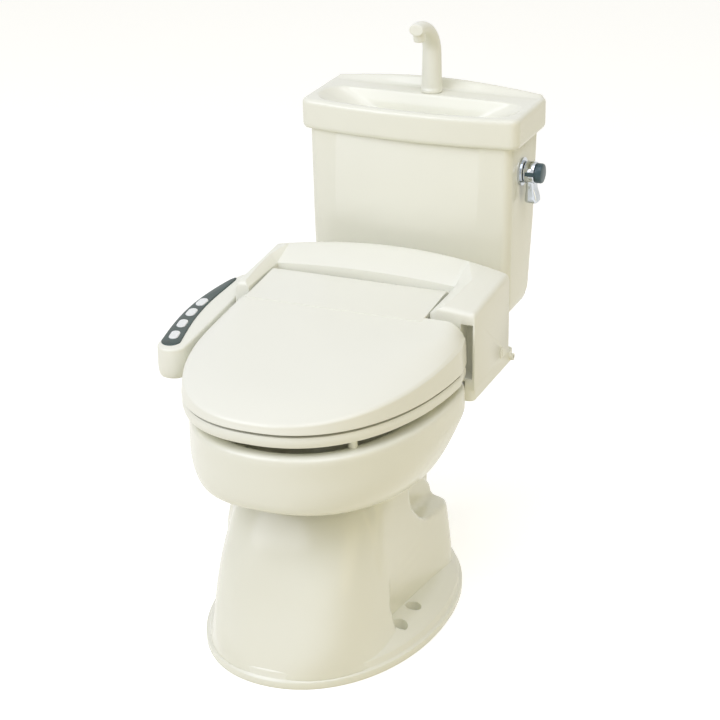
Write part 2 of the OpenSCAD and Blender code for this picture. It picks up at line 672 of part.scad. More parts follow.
module water_inlet() {
    color(chrome) difference() {
        union() {
            along_x(-226, -28, 377, 24, 6.5);
            along_x(-214.2, -28, 377, 4, 9);
        }
        along_x(-230, -28, 377, 22, 3.5);
    }
}
module cord_gland() {
    color(ivory_plastic) difference() {
        along_x(207, -28, 378, 9, 6);
        along_x(200, -28, 378, 20, 3);
    }
}
module filter_plug() {
    color(ivory_plastic) {
        along_x(197, -72, 402, 14, 8.9);
        translate([210.5, -73.5, 396]) cube([1.6, 3, 12]);
    }
}

// ---- control arm
arm_slope = 5.1;
function arm_top(y) = 497 + tan(arm_slope) * (y + 110);
module control_arm() {
    color(ivory_plastic) difference() {
        union() {
            loft([
                [for (p = flipped(arm_outline(7))) [p[0], p[1], 418]],
                [for (p = flipped(arm_outline(2))) [p[0], p[1], 423]],
                [for (p = flipped(arm_outline(0))) [p[0], p[1], 436]],
                [for (p = flipped(arm_outline(0))) [p[0], p[1], arm_top(p[1]) - 5]],
                [for (p = flipped(arm_outline(0.6))) [p[0], p[1], arm_top(p[1]) - 2]],
                [for (p = flipped(arm_outline(2))) [p[0], p[1], arm_top(p[1])]]]);
            translate([-228, -205, 424]) cube([17.5, 80, 50]);
        }
        // hollow under the panel
        strip_prism(-1, 20, -24);
    }
}
// Plan outline of the arm: slim at the rear, with a rounded front end.
function arm_outline(inset) = [
    for (k = [0:8]) [-213.5 - inset, -110 - inset - (276 - inset) * k / 8],
    for (k = [1:11]) let (a = 15 * k) [-238 + (24.5 - inset) * cos(a), -386 - (22 - inset) * sin(a)],
    for (k = [0:9]) strip_side(1 - k / 9, -1, 2.5 - inset),
    [-240 + inset, -116 - inset]];
// Plan outline of the dark strip, a long leaf that is widest at its front.
function strip_outline(grow) = [
    for (k = [0:9]) let (t = k / 9) strip_side(t, 1, grow),
    for (k = [1:5]) let (a = 30 * k) strip_end(a, grow),
    for (k = [0:9]) let (t = 1 - k / 9) strip_side(t, -1, grow)];
function strip_half(t) = 2 + 14.5 * sqrt(t);
function strip_mid(t) = strip_rear + t * (strip_front - strip_rear) + [-13.5 * sin(180 * t), 0];
function strip_side(t, side, grow) = strip_mid(t) + [side * (strip_half(t) + grow), 0];
function strip_end(a, grow) = strip_mid(1) + (strip_half(1) + grow) * [cos(a), -sin(a)];
module strip_prism(grow, above, below) {
    intersection() {
        translate([0, 0, 440]) linear_extrude(height = 100) polygon(strip_outline(grow));
        translate([-300, -110, arm_top(-110) + below]) rotate([arm_slope, 0, 0]) translate([0, -400, 0])
            cube([120, 500, above - below]);
    }
}
button_t = [0.423, 0.585, 0.757, 0.925];
function button_at(k) = let (p = strip_mid(button_t[k])) [p[0], p[1], arm_top(p[1])];
module control_panel() {
    color(dark_panel) difference() {
        strip_prism(0, 1.6, 0);
        for (k = [0:3]) at_button(k) translate([0, 0, -10]) pill(8.2, 8.2, 20);
    }
}
module at_button(k) {
    translate(button_at(k)) rotate([arm_slope, 0, atan(-0.176 * cos(180 * button_t[k]))]) children();
}
module pill(r1, r2, h) {
    for (y = [-6, 6]) translate([0, y, 0]) cylinder(r1 = r1, r2 = r2, h = h);
    translate([-r2, -6, 0]) cube([2 * r2, 12, h]);
}
module push_button(k) {
    color("white") at_button(k) {
        translate([0, 0, -6]) pill(7.8, 7.8, 8);
        translate([0, 0, 2]) pill(7.8, 6.8, 1);
    }
}
module stop_button() {
    push_button(3);
}
module rear_wash_button() {
    push_button(2);
}
module front_wash_button() {
    push_button(1);
}
module dry_button() {
    push_button(0);
}
module control_board() {
    color([0.1, 0.4, 0.2]) for (k = [0:3]) at_button(k) {
        translate([-4, -8, -14]) cube([8, 16, 1.6]);
        translate([0, 0, -12.6]) cylinder(r = 3, h = 5);
    }
}

// ---- seat ring and lid
// Outline of seat and lid: round in front, straight sides, cut square at the rear.
function seat_outline(inset, steps = 44) = concat(
    [for (i = [0:steps]) let (t = 180 + 180 * i / steps)
        [(rim_half + 3 - inset) * sgn_pow(cos(t), 2 / 2.3),
            widest_y + (-rim_front - widest_y + inset) * -sgn_pow(sin(t), 2 / 2.3)]],
    [[rim_half - 5 - inset, seat_rear], [-rim_half - 2 + inset, seat_rear]]);
function leaning(ring) = [for (p = ring) [p[0] - seat_lean * max(0, widest_y - p[1]) / 321, p[1], p[2]]];
function flat_ring(inset, z) = leaning([for (p = seat_outline(inset)) [p[0], p[1], z]]);
function seat_t(y) = max(0, (y + rim_front) / 371);
function lid_edge(y) = 452 + 34 * pow(seat_t(y), 0.8);
function lid_crown(y) = 462 + 46 * pow(seat_t(y), 0.9);
function lid_ring(inset, mix, drop) = leaning([for (p = seat_outline(inset))
    [p[0], p[1], (1 - mix) * lid_edge(p[1]) + mix * lid_crown(p[1]) - drop]]);
module lid_shell(shrink) {
    loft([flat_ring(shrink, shrink > 0 ? 439 : 440), flat_ring(0.5 + shrink, 443),
        lid_ring(3 + shrink, 0, 5 + shrink), lid_ring(7 + shrink, 0, 1.5 + shrink),
        lid_ring(12 + shrink, 0.15, shrink), lid_ring(22 + shrink, 0.45, shrink),
        lid_ring(45 + shrink, 0.78, shrink), lid_ring(95 + shrink, 1, shrink)]);
}
lid_pads = [[-136, -440], [124, -440], [-182, -300], [178, -300]];
module seat_lid() {
    color(ivory_plastic) difference() {
        union() {
            difference() {
                lid_shell(0);
                lid_shell(3.5);
            }
            intersection() {
                lid_shell(1);
                for (p = lid_pads) translate([p[0], p[1], 441]) cylinder(r = 8, h = 60);
            }
            // tongue back to the hinge
            at_hinge() translate([-155, 0, 0]) rotate([90, 0, 90]) linear_extrude(height = 310)
                polygon([[seat_rear - 20, 502.5], [seat_rear - 20, 505.5], [hinge_y, hinge_z + barrel_r],
                    [hinge_y, hinge_z + barrel_r - 3.5]]);
            // barrel shell behind the tongue
            at_hinge() difference() {
                along_x(-155, hinge_y, hinge_z, 310, barrel_r);
                along_x(-156, hinge_y, hinge_z, 312, barrel_r - 3.5);
                translate([-160, hinge_y - 40, hinge_z - 60]) cube([320, 40, 100]);
                translate([-160, hinge_y - 10, hinge_z - 60]) cube([320, 60, 66]);
            }
            at_hinge() both_sides() difference() {
                hull() {
                    along_x(139, hinge_y, hinge_z, 16, barrel_r);
                    translate([139, seat_rear + 1, 464]) cube([16, 3, 38]);
                }
                translate([130, seat_rear + 4, 440]) rotate([-18, 0, 0]) cube([40, 60, 24]);
            }
        }
        at_hinge() both_sides() along_x(90, hinge_y, hinge_z, 80, pin_r + run_gap);
        // room for the seat's arms
        at_hinge() both_sides() translate([97, seat_rear - 8, 430]) cube([42, 20, 20]);
    }
}
module lid_feet() {
    color(rubber) for (p = lid_pads) translate([p[0], p[1], 436.3]) cylinder(r = 7, h = 4.7);
}
module seat_ring() {
    color(ivory_plastic) difference() {
        union() {
            difference() {
                loft([flat_ring(8, ring_under), flat_ring(3, ring_under + 2), flat_ring(1.5, 423),
                    flat_ring(1.5, 430),
                    flat_ring(4, 434.5), flat_ring(10, 436)]);
                loft([leaning(oval(116, -516, -236, -375, 2.1, ring_under - 2)),
                    leaning(oval(114, -514, -238, -375, 2.1, 424)),
                    leaning(oval(120, -520, -234, -375, 2.1, 437))]);
            }
            // two arms from the ring up to the hinge line
            at_hinge() both_sides() hull() {
                along_x(100, hinge_y, hinge_z, 36, 18);
                translate([100, seat_rear - 6, 418]) cube([36, 4, 18]);
            }
        }
        at_hinge() both_sides() along_x(90, hinge_y, hinge_z, 60, pin_r + run_gap);
        nozzle_line() translate([0, 0, -10]) cylinder(r = 10, h = 90);
    }
}
module seat_feet() {
    color(ivory_plastic) for (p = [[122, -502], [-138, -502], [178, -330], [-184, -330]])
        translate([p[0], p[1], rim_z + 0.3]) cylinder(r = 7, h = ring_under - rim_z - 0.3);
}

bowl();
bowl_foot();
tank();
basin_lid();
basin_strainer();
spout();
spout_nut();
spout_hose();
tank_gasket();
tank_bolts();
tank_nuts();
flush_valve_seat();
overflow_tube();
flush_valve_nut();
flapper();
flapper_pin();
chain();
ball_tap();
ball_tap_nut();
float_arm();
float_ball();
lever_escutcheon();
lever_nut();
flush_lever();
lever_cap();
lever_spindle();
base_tray();
seat_cover();
control_arm();
control_panel();
control_board();
stop_button();
rear_wash_button();
front_wash_button();
dry_button();
mounting_bracket();
bracket_bolts();
bracket_nuts();
water_heater();
valve_block();
circuit_board();
nozzle_guide();
spray_nozzle();
water_inlet();
cord_gland();
filter_plug();
hinge_pins();
seat_ring();
seat_feet();
seat_lid();
lid_feet();
floor_screws();
screw_caps();
outlet_seal();
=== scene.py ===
"""A toilet with a hand basin on its tank and a washing seat.

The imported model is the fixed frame. Glazed and moulded bodies get smooth pieces of their own here,
built from the same outlines as the solids; small hardware keeps its solid and gets a better
material.
"""
import json
import math

import bmesh
import bpy
import numpy as np
from mathutils import Matrix, Vector


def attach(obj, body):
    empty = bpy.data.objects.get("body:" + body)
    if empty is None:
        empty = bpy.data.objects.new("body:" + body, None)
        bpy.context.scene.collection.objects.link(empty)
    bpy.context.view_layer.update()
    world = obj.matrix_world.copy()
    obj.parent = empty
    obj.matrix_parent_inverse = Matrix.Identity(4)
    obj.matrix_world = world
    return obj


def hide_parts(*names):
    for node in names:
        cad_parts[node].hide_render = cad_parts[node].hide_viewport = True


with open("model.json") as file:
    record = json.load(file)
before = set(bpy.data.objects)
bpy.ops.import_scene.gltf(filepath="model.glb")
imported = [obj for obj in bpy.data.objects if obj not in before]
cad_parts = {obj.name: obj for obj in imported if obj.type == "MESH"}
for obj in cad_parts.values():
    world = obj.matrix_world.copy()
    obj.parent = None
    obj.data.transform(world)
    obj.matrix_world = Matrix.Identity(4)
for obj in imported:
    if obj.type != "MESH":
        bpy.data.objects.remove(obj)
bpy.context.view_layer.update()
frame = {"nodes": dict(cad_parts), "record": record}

MM = 0.001
# ---- driving sizes in mm and degrees, the same as the solids'
RIM_Z, RIM_HALF, RIM_FRONT = 402, 207, 584
WIDEST_Y = -263                      # where rim, seat and lid are widest
SKIRT_Y, FOOT_HALF = -290, 194       # where skirt and foot are widest, and the foot's half width
DECK_UNDER, DECK_HALF = 366, 186
OUTLET_R, TRAP_R = 37.5, 28
FITTING_Y, VALVE_X, TAP_X, TANK_BOLT_X = 98, 35, -140, 98
BRACKET_BOLT = (70, -105)
SCREW_X, SCREW_Y = 150, (-383, -323)
TANK_FLOOR, TANK_TOP, TANK_HALF, TANK_WALL = 406, 720, 182, 10
BASIN_HALF, BASIN_RIM, BASIN_FLOOR = 195, 768, 708
SPOUT_Y, SPOUT_Z, SPOUT_TILT = 152, 768.2, 14
COVER_HALF, COVER_FRONT, TRAY_TOP = 210, -207, 388
HINGE_X, HINGE_Y, HINGE_Z, BARREL_R, NOTCH_HALF = -26, -124, 492, 24, 160
PIN_HOLE_R, LID_ARM, RING_ARM = 5.1, (139, 154.5), (100, 136)
NOZZLE_SLOPE, NOZZLE_MOUTH = 19, (0, -213, 420)
ARM_SLOPE, ARM_REAR = 5.1, -110
STRIP_REAR, STRIP_FRONT = (-244, -137), (-243.5, -378)
BUTTON_T = [0.423, 0.585, 0.757, 0.925]        # shares of the strip's length
SEAT_REAR, SEAT_LEAN, RING_UNDER = -220, 14, 416
SEAT_TRIM = 8                        # the seat's right rear corner is drawn in by this much
LID_LIP, LID_RUN = 440, 371          # the lid's lower edge, and the length over which it slopes
LEVER_Y, LEVER_Z = 101, 661


# ---- mesh helpers
def link(name, mesh):
    piece = bpy.data.objects.new(name, mesh)
    bpy.context.scene.collection.objects.link(piece)
    return piece


def built(name, bm):
    """A new piece from a bmesh."""
    mesh = bpy.data.meshes.new(name)
    bm.to_mesh(mesh)
    bm.free()
    return link(name, mesh)


def solid(name, points, faces):
    """A piece from points in mm, with its faces turned outwards."""
    mesh = bpy.data.meshes.new(name)
    mesh.from_pydata([tuple(p) for p in np.asarray(points, float) * MM], [], faces)
    bm = bmesh.new()
    bm.from_mesh(mesh)
    bmesh.ops.recalc_face_normals(bm, faces=bm.faces)
    bm.to_mesh(mesh)
    bm.free()
    return link(name, mesh)


def loft(name, rings, closed=False):
    """Joins rings of equally many points; closed joins the last to the first, as in a torus."""
    n, m = len(rings[0]), len(rings)
    faces = [(k * n + i, k * n + (i + 1) % n, (k + 1) % m * n + (i + 1) % n, (k + 1) % m * n + i)
             for k in range(m if closed else m - 1) for i in range(n)]
    if not closed:
        faces += [tuple(range(n - 1, -1, -1)), tuple(range((m - 1) * n, m * n))]
    return solid(name, np.concatenate(rings), faces)


def hull(name, points):
    bm = bmesh.new()
    for p in points:
        bm.verts.new(Vector(p) * MM)
    out = bmesh.ops.convex_hull(bm, input=bm.verts)
    inner = list({v for v in out["geom_interior"] if isinstance(v, bmesh.types.BMVert)})
    bmesh.ops.delete(bm, geom=inner, context="VERTS")
    bmesh.ops.recalc_face_normals(bm, faces=bm.faces)
    return built(name, bm)


def box(low, high):
    return hull("box", [(x, y, z) for x in (low[0], high[0]) for y in (low[1], high[1])
                        for z in (low[2], high[2])])


def around(count):
    """Angles of a full turn."""
    return np.linspace(0, 2 * np.pi, count, endpoint=False)


def rod(start, end, r, sides=64):
    start, end = np.array(start, float), np.array(end, float)
    d = (end - start) / np.linalg.norm(end - start)
    u = np.cross(d, (0.3, 0.2, 0.9) if abs(d[2]) < 0.9 else (1, 0, 0))
    u /= np.linalg.norm(u)
    v = np.cross(d, u)
    t = around(sides)[:, None]
    wheel = r * (np.cos(t) * u + np.sin(t) * v)
    return loft("rod", [start + wheel, end + wheel])


def upright(x, y, low, high, r):
    return rod((x, y, low), (x, y, high), r)


def ball_points(centre, r):
    return [np.array(centre) + r * np.array([math.sin(a) * math.cos(b), math.sin(a) * math.sin(b),
                                             math.cos(a)])
            for a in np.linspace(0, math.pi, 17) for b in around(32)]


def turned(name, profile, centre, axis):
    """A lathe piece: profile holds (distance along the axis, radius) in mm."""
    turn = Vector(axis).normalized().to_track_quat("Z", "Y").to_matrix()
    rings = [[Vector(centre) + turn @ Vector((r * math.cos(t), r * math.sin(t), z))
              for t in around(72)] for z, r in profile]
    return loft(name, [np.array([tuple(p) for p in ring]) for ring in rings])


def settle(piece):
    """Applies the modifiers to the mesh."""
    bpy.context.view_layer.update()
    graph = bpy.context.evaluated_depsgraph_get()
    mesh = bpy.data.meshes.new_from_object(piece.evaluated_get(graph))
    old = piece.data
    piece.modifiers.clear()
    piece.data = mesh
    bpy.data.meshes.remove(old)
    return piece


def carve(pieces, tools):
    """Cuts every tool out of every piece."""
    kit = bpy.data.collections.new("tools")
    bpy.context.scene.collection.children.link(kit)
    for tool in tools:
        kit.objects.link(tool)
    for piece in pieces:
        cut = piece.modifiers.new("cut", "BOOLEAN")
        cut.operation, cut.solver = "DIFFERENCE", "EXACT"
        cut.operand_type, cut.collection = "COLLECTION", kit
        settle(piece)
    for tool in tools:
        bpy.data.objects.remove(tool)
    bpy.data.collections.remove(kit)


def join(name, pieces):
    bm = bmesh.new()
    for piece in pieces:
        bm.from_mesh(piece.data)
        bpy.data.objects.remove(piece)
    return built(name, bm)


def soften(piece, voxel, rounds):
    """Melts a piece's parts into one skin with rounded edges and inner corners, as glaze does."""
    skin = piece.modifiers.new("skin", "REMESH")
    skin.mode, skin.voxel_size, skin.use_smooth_shade = "VOXEL", voxel * MM, True
    ease = piece.modifiers.new("ease", "SMOOTH")
    ease.factor, ease.iterations = 0.5, rounds
    return settle(piece)


def edged(piece, width, angle=35):
    """Rounds a moulded piece's edges."""
    bevel = piece.modifiers.new("edges", "BEVEL")
    bevel.width, bevel.segments, bevel.limit_method = width * MM, 2, "ANGLE"
    bevel.angle_limit, bevel.harden_normals = math.radians(angle), False
    return settle(piece)


def finish_shading(piece, angle):
    piece.data.shade_smooth()
    piece.data.set_sharp_from_angle(angle=math.radians(angle))
    return piece


# ---- outlines
def power(v, p):
    return np.sign(v) * np.abs(v) ** p


def smoothstep(low, high, v):
    t = np.clip((v - low) / (high - low), 0, 1)
    return t * t * (3 - 2 * t)


def oval(half, front, rear, wide, n, z, tilt=0.0, sides=168):
    """A ring that is widest at y = wide, squarer with a larger n; tilt lifts its front."""
    t = around(sides)
    s = np.sin(t)
    y = wide + np.where(s < 0, wide - front, rear - wide) * power(s, 2 / n)
    return np.stack([half * power(np.cos(t), 2 / n), y, z - tilt * np.minimum(0, y + 300)], 1)


def bowed_box(half, front, rear, r, bow, z):
    """A rounded rectangle whose front bulges by bow."""
    steps, front_steps, rear_steps = 10, 40, 12

    def arc(x, y, a):
        turn = [math.radians(a + 90 * i / steps) for i in range(steps + 1)]
        return [(x + r * math.cos(t), y + r * math.sin(t)) for t in turn]

    edge = [(r - half + 2 * (half - r) * i / front_steps, front) for i in range(1, front_steps)]
    back = [(half - r - 2 * (half - r) * i / rear_steps, rear) for i in range(1, rear_steps)]
    flat = (arc(half - r, rear - r, 0) + back + arc(r - half, rear - r, 90)
            + arc(r - half, front + r, 180) + edge + arc(half - r, front + r, 270))
    middle = (front + rear) / 2
    return np.array([(x, y - (bow * (1 - (x / half) ** 2) if y < middle else 0), z)
                     for x, y in flat])


def fair(rings, steps=4):
    """Puts smooth in-between rings into a loft."""
    p = np.array(rings, float)
    p = np.concatenate([2 * p[:1] - p[1:2], p, 2 * p[-1:] - p[-2:-1]])
    out = []
    for k in range(1, len(p) - 2):
        a, b, c, d = p[k - 1:k + 3]
        out += [0.5 * (2 * b + (c - a) * t + (2 * a - 5 * b + 4 * c - d) * t ** 2
                       + (3 * b - a - 3 * c + d) * t ** 3) for t in np.arange(steps) / steps]
    return out + [p[-2]]


# ---- materials
def material(name, base, rough, spread, bump, metal=0.0, grain=40.0, bump_size=220.0, coat=0.0):
    """A surface from a base colour (sRGB) and a roughness that drift a little, and a fine bump."""
    mat = bpy.data.materials.new(name)
    mat.use_nodes = True
    tree = mat.node_tree
    shader = tree.nodes["Principled BSDF"]
    shader.inputs["Metallic"].default_value = metal
    shader.inputs["Coat Weight"].default_value = coat
    shader.inputs["Coat Roughness"].default_value = 0.06
    place = tree.nodes.new("ShaderNodeTexCoord")

    def noise(scale, detail):
        node = tree.nodes.new("ShaderNodeTexNoise")
        node.inputs["Scale"].default_value = scale
        node.inputs["Detail"].default_value = detail
        tree.links.new(place.outputs["Object"], node.inputs["Vector"])
        return node

    def linear(c):
        return [v / 12.92 if v <= 0.04045 else ((v + 0.055) / 1.055) ** 2.4 for v in c]

    drift = noise(grain, 3)
    ramp = tree.nodes.new("ShaderNodeValToRGB")
    low = [v * (1 - spread) for v in base]
    ramp.color_ramp.elements[0].position, ramp.color_ramp.elements[1].position = 0.3, 0.7
    ramp.color_ramp.elements[0].color = linear(low) + [1]
    ramp.color_ramp.elements[1].color = linear(base) + [1]
    tree.links.new(drift.outputs["Fac"], ramp.inputs["Fac"])
    tree.links.new(ramp.outputs["Color"], shader.inputs["Base Color"])
    gloss = tree.nodes.new("ShaderNodeMapRange")
    gloss.inputs["To Min"].default_value = rough * 0.93
    gloss.inputs["To Max"].default_value = rough * 1.08
    tree.links.new(noise(grain * 2.5, 4).outputs["Fac"], gloss.inputs["Value"])
    tree.links.new(gloss.outputs["Result"], shader.inputs["Roughness"])
    relief = tree.nodes.new("ShaderNodeBump")
    relief.inputs["Strength"].default_value = bump
    relief.inputs["Distance"].default_value = 0.001
    tree.links.new(noise(bump_size, 2).outputs["Fac"], relief.inputs["Height"])
    tree.links.new(relief.outputs["Normal"], shader.inputs["Normal"])
    return mat


LOOKS = {
    "ceramic": material("glazed_ceramic", (0.930, 0.930, 0.872), 0.26, spread=0.008, grain=6,
                        bump=0.03, bump_size=18, coat=0.15),
    "ivory_plastic": material("ivory_plastic", (0.937, 0.937, 0.885), 0.30, spread=0.006, grain=6,
                              bump=0.006, bump_size=260),
    "button_plastic": material("button_plastic", (0.93, 0.94, 0.93), 0.28, spread=0.02, grain=60,
                               bump=0.08, bump_size=900),
    "dark_plastic": material("dark_gloss", (0.13, 0.26, 0.24), 0.14, spread=0.25, grain=60,
                             bump=0.02, coat=0.3),
    "grey_plastic": material("grey_plastic", (0.58, 0.59, 0.60), 0.5, spread=0.08, grain=50,
                             bump=0.25, bump_size=1200),
    "blue_grey_plastic": material("blue_grey_plastic", (0.20, 0.31, 0.34), 0.3, spread=0.08,
                                  bump=0.05, bump_size=900),
    "board": material("board", (0.10, 0.38, 0.20), 0.35, spread=0.5, grain=260,
                      bump=0.4, bump_size=400),
    "rubber": material("rubber", (0.13, 0.13, 0.13), 0.75, spread=0.25, grain=80,
                       bump=0.35, bump_size=1200),
    "chrome": material("chrome", (0.80, 0.82, 0.84), 0.09, metal=1.0, spread=0.04, grain=70,
                       bump=0.01, bump_size=90),
    "brass": material("brass", (0.78, 0.66, 0.38), 0.27, metal=1.0, spread=0.15, grain=60,
                      bump=0.12, bump_size=500),
}
SLOT_OF = {part["node"]: part["material_slot"] for part in frame["record"]["subparts"]}


def dress(piece, look):
    piece.data.materials.clear()
    piece.data.materials.append(LOOKS[look])
    return piece


def stand_for(piece, body, node):
    """The piece rides on a body and stands for a solid."""
    dress(piece, SLOT_OF[node])
    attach(piece, body)
    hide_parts(node)
    return piece


for node, shape in frame["nodes"].items():
    shape.data.materials.clear()
    shape.data.materials.append(LOOKS[SLOT_OF[node]])


# ---- bowl
def pillar(half, front, rear, spread, z):
    """A ring of the squared pedestal that widens by spread towards the rear."""
    wide = -360
    p = oval(half, front, rear, wide, 8, z, sides=200)
    p[:, 0] *= 1 + spread * np.maximum(0, p[:, 1] - wide) / 210
    return p


def upper_forms():
    """The casting's outer forms, apart from the foot's plate."""
    belly = loft("belly", fair([oval(*ring) for ring in (
        (124, -446, -236, -300, 2.6, 250, 0.19), (141, -520, -233, -300, 2.6, 254, 0.18),
        (152, -548, -229, -298, 2.6, 261, 0.15), (162, -567, -222, -294, 2.55, 271, 0.12),
        (173, -578, -211, -290, 2.5, 286, 0.08), (186, -583, -194, -285, 2.45, 309, 0.03),
        (198, -584, -168, -278, 2.4, 337, 0.01),
        (RIM_HALF, -RIM_FRONT, -138, WIDEST_Y, 2.3, DECK_UNDER - 2))], 5)
        + [oval(RIM_HALF - inset, inset - RIM_FRONT, rear, WIDEST_Y, 2.3, RIM_Z - down)
           for inset, rear, down in ((0, -138, 5), (1.5, -139, 1.5), (5, -141, 0))])
    pedestal = loft("pedestal", fair([pillar(*ring) for ring in (
        (129, -440, -104, 0.19, 8), (130, -440, -104, 0.18, 45), (134, -440, -104, 0.12, 90),
        (136, -440, -106, 0.05, 150), (136, -440, -122, 0.02, 172), (135, -440, -150, 0, 196),
        (133, -430, -186, -0.03, 222), (128, -420, -205, -0.05, 252),
        (112, -410, -215, -0.05, 274))], 3))
    skirt = loft("skirt", fair([
        oval(half, front, rear, SKIRT_Y, n, z) for half, front, rear, n, z in (
            (188, -572, -8, 2.15, 8), (170, -569, -20, 2.5, 22), (155, -565, -60, 3, 40),
            (144, -557, -90, 3.6, 67), (139, -541, -100, 4, 112), (135, -525, -110, 4, 159),
            (132, -506, -120, 3.6, 200), (129, -488, -140, 3.2, 232),
            (116, -470, -160, 2.8, 264))], 4))
    carve([skirt], [box((-300, -395, -20), (300, 100, 400))])
    column = loft("column", fair([oval(half, front, rear, 0, n, z) for half, front, rear, n, z in (
        (44, -44, 44, 2, 150), (54, -70, 56, 2.2, 210), (78, -110, 84, 2.4, 280),
        (112, -150, 124, 2.8, 340), (134, -170, 148, 4, DECK_UNDER + 2))], 4))
    bridge = hull("bridge", ball_points((0, -110, 196), 56) + ball_points((0, -8, 150), 46)
                  + ball_points((0, -120, 90), 52))
    flank = [(DECK_HALF, -215), (DECK_HALF, -70), (178, -40), (146, -8), (140, 20), (140, 150),
             (125, 165)]
    deck_plan = [(-DECK_HALF, -215)] + flank + [(-x, y) for x, y in flank[:0:-1]]
    deck = loft("deck", [np.array([(x, y, z) for x, y in deck_plan])
                         for z in (DECK_UNDER, RIM_Z - 0.5)])
    return [belly, pedestal, skirt, upright(0, 0, 0, 24, 62), upright(0, 0, 0, 190, 47), column,
            bridge, deck]


def foot_plate():
    insets = ((0.6, 0.6, 0.6, 0), (0, 0, 0, 1), (0, 0, 0, 10.5), (0.5, 0.5, 0.5, 12),
              (5, 4, 4, 13.4), (6, 5, 5, 14.6), (6.6, 5.6, 5.6, 24), (7.4, 6.4, 6.6, 25.6),
              (13, 11, 12, 28.6), (24, 24, 26, 37.5), (32, 32, 36, 41), (42, 42, 46, 43),
              (70, 70, 74, 44))
    return loft("foot", [
        oval(FOOT_HALF - side, -576 + front, -4 - rear, SKIRT_Y, 2.1, z, sides=220)
        for side, front, rear, z in insets])


def bowl_hollows():
    """Cavity, trapway, outlet, flush inlet, notch round the tap, side recesses and fixing holes."""
    cavity = loft("cavity", fair([oval(*ring) for ring in (
        (40, -345, -262, -300, 2, 128), (55, -365, -250, -302, 2, 150),
        (76, -395, -242, -310, 2, 190), (100, -432, -234, -312, 2.1, 235),
        (128, -482, -228, -312, 2.1, 270), (150, -524, -221, -305, 2.2, 310),
        (167, -551, -216, -290, 2.2, 360))], 4)
        + [oval(half, front, rear, -285, 2.2, z) for half, front, rear, z in (
            (171, -555, -216, RIM_Z - 6), (172.5, -556.5, -215, RIM_Z - 2.5),
            (176, -561, -213, RIM_Z + 1))])
    crest, bend = (0, -134, 225), (0, -10, 162)
    tools = [cavity, rod((0, -290, 150), (0, -134, 232), 26), rod(crest, bend, 26.5),
             hull("bend", ball_points(crest, 27)), hull("bend", ball_points(bend, TRAP_R)),
             upright(0, 0, -10, 160, TRAP_R), upright(0, 0, -10, 60, OUTLET_R),
             upright(VALVE_X, FITTING_Y, 372, 432, 40), upright(TAP_X, FITTING_Y, 330, 432, 24)]
    recesses = ((100, [(-266, 232), (-266, 190), (-238, 158), (-80, 134), (-80, 226)]),
                (118, [(-286, 246), (-286, 201), (-247, 164), (-149, 157), (-80, 150), (-80, 246)]))
    for side in (-1, 1):
        tools += [loft("recess", [np.array([(x * side, y, z) for y, z in outline])
                                  for x in (deep, 190)]) for deep, outline in recesses]
        for x, y, hole_r, well_r in ((*BRACKET_BOLT, 6.5, 20), (TANK_BOLT_X, FITTING_Y, 5.5, 17)):
            tools += [upright(x * side, y, 330, 432, hole_r),
                      upright(x * side, y, 200, DECK_UNDER, well_r)]
        tools += [upright(SCREW_X * side, y, 12, 72, 13) for y in SCREW_Y]
    return tools


def bowl():
    parts, foot = upper_forms(), foot_plate()
    carve(parts + [foot], bowl_hollows())
    edged(foot, 0.8, 50)
    return finish_shading(join("bowl_glazed", [soften(join("upper", parts), 4.6, 7), foot]), 50)


casting = stand_for(bowl(), "toilet", "bowl")
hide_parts("bowl_foot")


# ---- tank and basin
def tank():
    outer = fair([bowed_box(154, 64, 132, 14, 10, TANK_FLOOR),
                  bowed_box(168, 54, 150, 18, 12, TANK_FLOOR + 4),
                  bowed_box(176, 48, 160, 20, 13, TANK_FLOOR + 14),
                  bowed_box(TANK_HALF - 3, 45, 167, 18, 14, TANK_FLOOR + 30)], 3)
    outer += [bowed_box(TANK_HALF - 1.5, 43, 182, 15, 15, 560),
              bowed_box(TANK_HALF, 41, 189, 14, 16, TANK_TOP - 2),
              bowed_box(TANK_HALF - 1.5, 42.5, 187.5, 13, 16, TANK_TOP)]
    w = TANK_WALL
    inner = [bowed_box(TANK_HALF - w + 1.5, 39.5 + w, 190.5 - w, 11, 15, TANK_TOP),
             bowed_box(TANK_HALF - w, 41 + w, 189 - w, 10, 15, TANK_TOP - 2),
             bowed_box(TANK_HALF - 1.5 - w, 43 + w, 182 - w, 10, 14, 560),
             bowed_box(163, 57, 150, 12, 12, TANK_FLOOR + 20),
             bowed_box(152, 62, 140, 10, 10, TANK_FLOOR + 10)]
    shell = loft("tank_glazed", outer + inner)
    holes = [upright(VALVE_X, FITTING_Y, 380, 440, 31), upright(TAP_X, FITTING_Y, 380, 440, 10.5),
             rod((150, LEVER_Y, LEVER_Z), (210, LEVER_Y, LEVER_Z), 9)]
    holes += [upright(TANK_BOLT_X * side, FITTING_Y, 380, 440, 5.5) for side in (-1, 1)]
    carve([shell], holes)
    return finish_shading(shell, 40)


